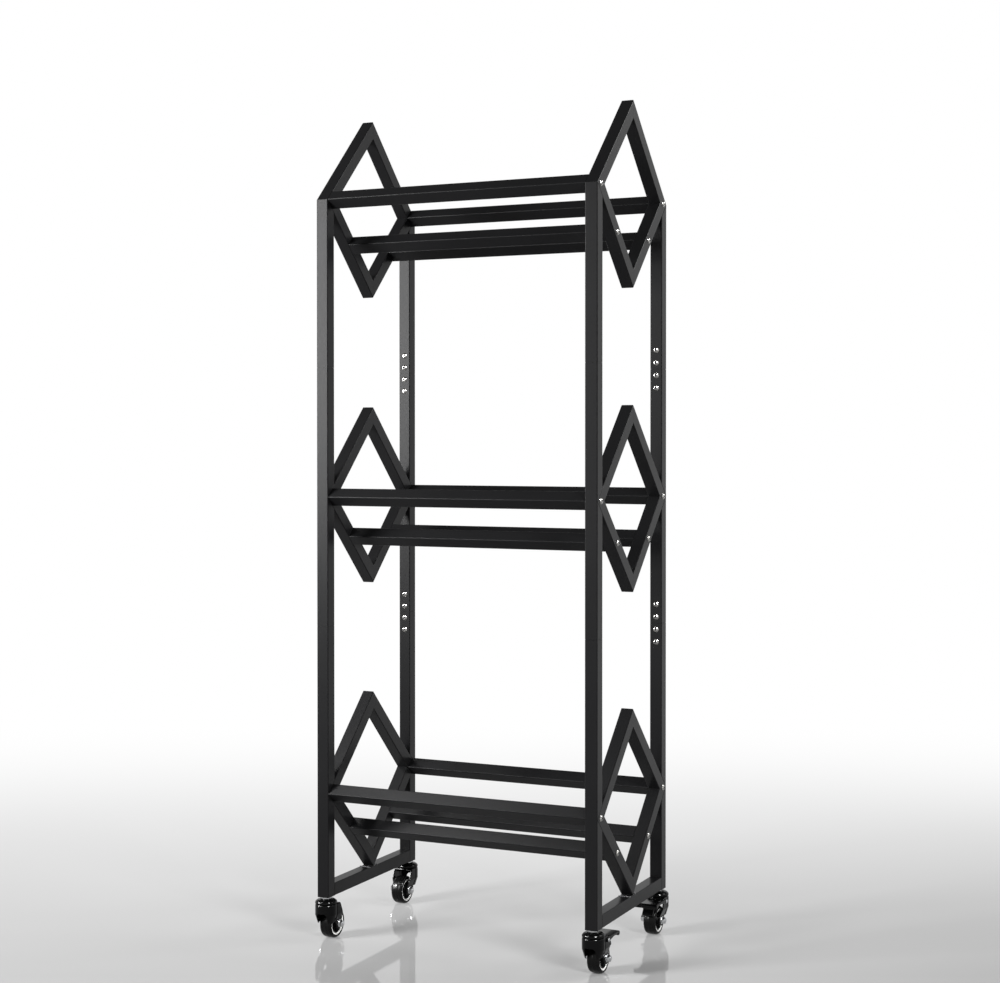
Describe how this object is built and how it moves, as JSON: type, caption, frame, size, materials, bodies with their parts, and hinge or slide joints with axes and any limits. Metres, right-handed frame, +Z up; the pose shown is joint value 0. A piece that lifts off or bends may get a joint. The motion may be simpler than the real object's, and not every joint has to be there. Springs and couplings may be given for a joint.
{
  "type": "record storage rack",
  "caption": "Three-tier record storage rack of square steel tube with diamond end frames, slanted rails and swivel casters, two with brakes.",
  "frame": {"origin": "on the floor, at the middle of the rack's footprint", "axes": "+X to the right across the records, +Y from the front to the rear, +Z up"},
  "size_m": [0.5452, 0.33, 1.431],
  "materials": {
    "powder_coat": "black fine-texture powder coat on steel tube",
    "black_pressing": "glossy black enamel on pressed steel",
    "zinc_steel": "bright zinc plated steel",
    "wheel_core": "pale moulded nylon",
    "tread": "black moulded rubber"
  },
  "bodies": {
    "rack": {"left_top_diamond": "powder_coat", "left_middle_diamond": "powder_coat", "left_bottom_diamond": "powder_coat", "right_top_diamond": "powder_coat", "right_middle_diamond": "powder_coat", "right_bottom_diamond": "powder_coat", "left_front_top_post": "powder_coat", "left_front_middle_post": "powder_coat", "left_front_bottom_post": "powder_coat", "left_rear_top_post": "powder_coat", "left_rear_middle_post": "powder_coat", "left_rear_bottom_post": "powder_coat", "right_front_top_post": "powder_coat", "right_front_middle_post": "powder_coat", "right_front_bottom_post": "powder_coat", "right_rear_top_post": "powder_coat", "right_rear_middle_post": "powder_coat", "right_rear_bottom_post": "powder_coat", "left_base_tube": "powder_coat", "right_base_tube": "powder_coat", "top_front_upper_rail": "powder_coat", "top_front_lower_rail": "powder_coat", "top_rear_lower_rail": "powder_coat", "top_rear_upper_rail": "powder_coat", "middle_front_upper_rail": "powder_coat", "middle_front_lower_rail": "powder_coat", "middle_rear_lower_rail": "powder_coat", "middle_rear_upper_rail": "powder_coat", "bottom_front_upper_rail": "powder_coat", "bottom_front_lower_rail": "powder_coat", "bottom_rear_lower_rail": "powder_coat", "bottom_rear_upper_rail": "powder_coat", "rail_bolts": "zinc_steel", "rail_nut_plugs": "zinc_steel", "seam_screws": "zinc_steel", "seam_sleeves": "zinc_steel", "post_foot_inserts": "zinc_steel", "caster_stems": "zinc_steel", "caster_races": "black_pressing", "swivel_balls": "zinc_steel"},
    "front_left_caster": {"front_left_fork": "black_pressing", "front_left_axle": "zinc_steel"},
    "front_left_wheel": {"front_left_hub": "wheel_core", "front_left_tyre": "tread"},
    "front_right_caster": {"front_right_fork": "black_pressing", "front_right_axle": "zinc_steel", "front_right_brake_pin": "zinc_steel"},
    "front_right_wheel": {"front_right_hub": "wheel_core", "front_right_tyre": "tread"},
    "rear_left_caster": {"rear_left_fork": "black_pressing", "rear_left_axle": "zinc_steel"},
    "rear_left_wheel": {"rear_left_hub": "wheel_core", "rear_left_tyre": "tread"},
    "rear_right_caster": {"rear_right_fork": "black_pressing", "rear_right_axle": "zinc_steel", "rear_right_brake_pin": "zinc_steel"},
    "rear_right_wheel": {"rear_right_hub": "wheel_core", "rear_right_tyre": "tread"},
    "front_right_pedal": {"front_right_brake_pedal": "black_pressing"},
    "rear_right_pedal": {"rear_right_brake_pedal": "black_pressing"}
  },
  "joints": [
    {"name": "front_left_swivel", "type": "hinge", "parent": "rack", "child": "front_left_caster", "pos_m": [-0.25, -0.146, 0], "axis": [0, 0, 1], "continuous": true},
    {"name": "front_left_roll", "type": "hinge", "parent": "front_left_caster", "child": "front_left_wheel", "pos_m": [-0.25, -0.126, 0.025], "axis": [1, 0, 0], "continuous": true},
    {"name": "front_right_swivel", "type": "hinge", "parent": "rack", "child": "front_right_caster", "pos_m": [0.25, -0.146, 0], "axis": [0, 0, 1], "continuous": true},
    {"name": "front_right_roll", "type": "hinge", "parent": "front_right_caster", "child": "front_right_wheel", "pos_m": [0.25, -0.126, 0.025], "axis": [1, 0, 0], "continuous": true},
    {"name": "front_right_brake", "type": "hinge", "parent": "front_right_caster", "child": "front_right_pedal", "pos_m": [0.25, -0.133, 0.057], "axis": [-1, 0, 0], "range_deg": [0, 10]},
    {"name": "rear_left_swivel", "type": "hinge", "parent": "rack", "child": "rear_left_caster", "pos_m": [-0.25, 0.146, 0], "axis": [0, 0, 1], "continuous": true},
    {"name": "rear_left_roll", "type": "hinge", "parent": "rear_left_caster", "child": "rear_left_wheel", "pos_m": [-0.25, 0.126, 0.025], "axis": [1, 0, 0], "continuous": true},
    {"name": "rear_right_swivel", "type": "hinge", "parent": "rack", "child": "rear_right_caster", "pos_m": [0.25, 0.146, 0], "axis": [0, 0, 1], "continuous": true},
    {"name": "rear_right_roll", "type": "hinge", "parent": "rear_right_caster", "child": "rear_right_wheel", "pos_m": [0.25, 0.126, 0.025], "axis": [1, 0, 0], "continuous": true},
    {"name": "rear_right_brake", "type": "hinge", "parent": "rear_right_caster", "child": "rear_right_pedal", "pos_m": [0.25, 0.133, 0.057], "axis": [1, 0, 0], "range_deg": [0, 10]}
  ]
}
